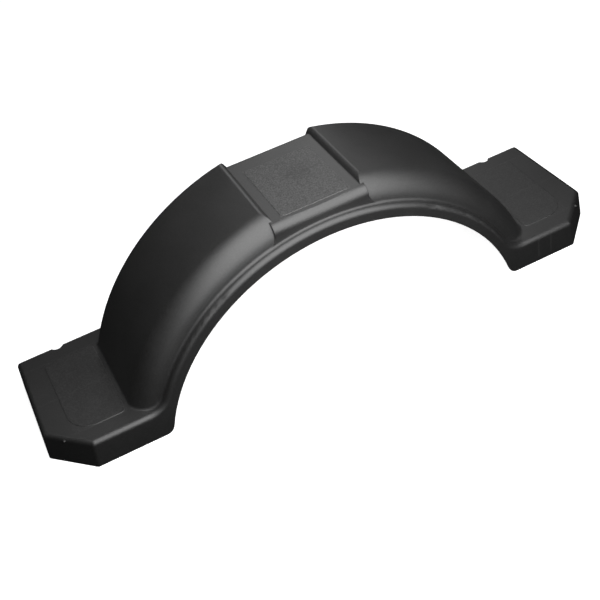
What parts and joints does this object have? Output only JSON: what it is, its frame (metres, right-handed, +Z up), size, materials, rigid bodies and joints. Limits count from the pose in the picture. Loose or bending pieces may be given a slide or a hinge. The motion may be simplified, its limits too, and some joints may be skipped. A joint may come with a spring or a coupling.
{
  "type": "trailer fender",
  "caption": "Moulded black plastic trailer fender: an arched mudguard for a single wheel, with a flat stepping pad on its crown and a flat step at each end.",
  "frame": {"origin": "middle of the footprint, on the surface that the lower edges of the skirts stand on", "axes": "+X along the trailer, +Y inboard towards the trailer, +Z up"},
  "size_m": [0.9856, 0.244, 0.284],
  "materials": {
    "black_plastic": "satin moulded grain"
  },
  "bodies": {
    "root": {"fender": "black_plastic"}
  },
  "joints": []
}
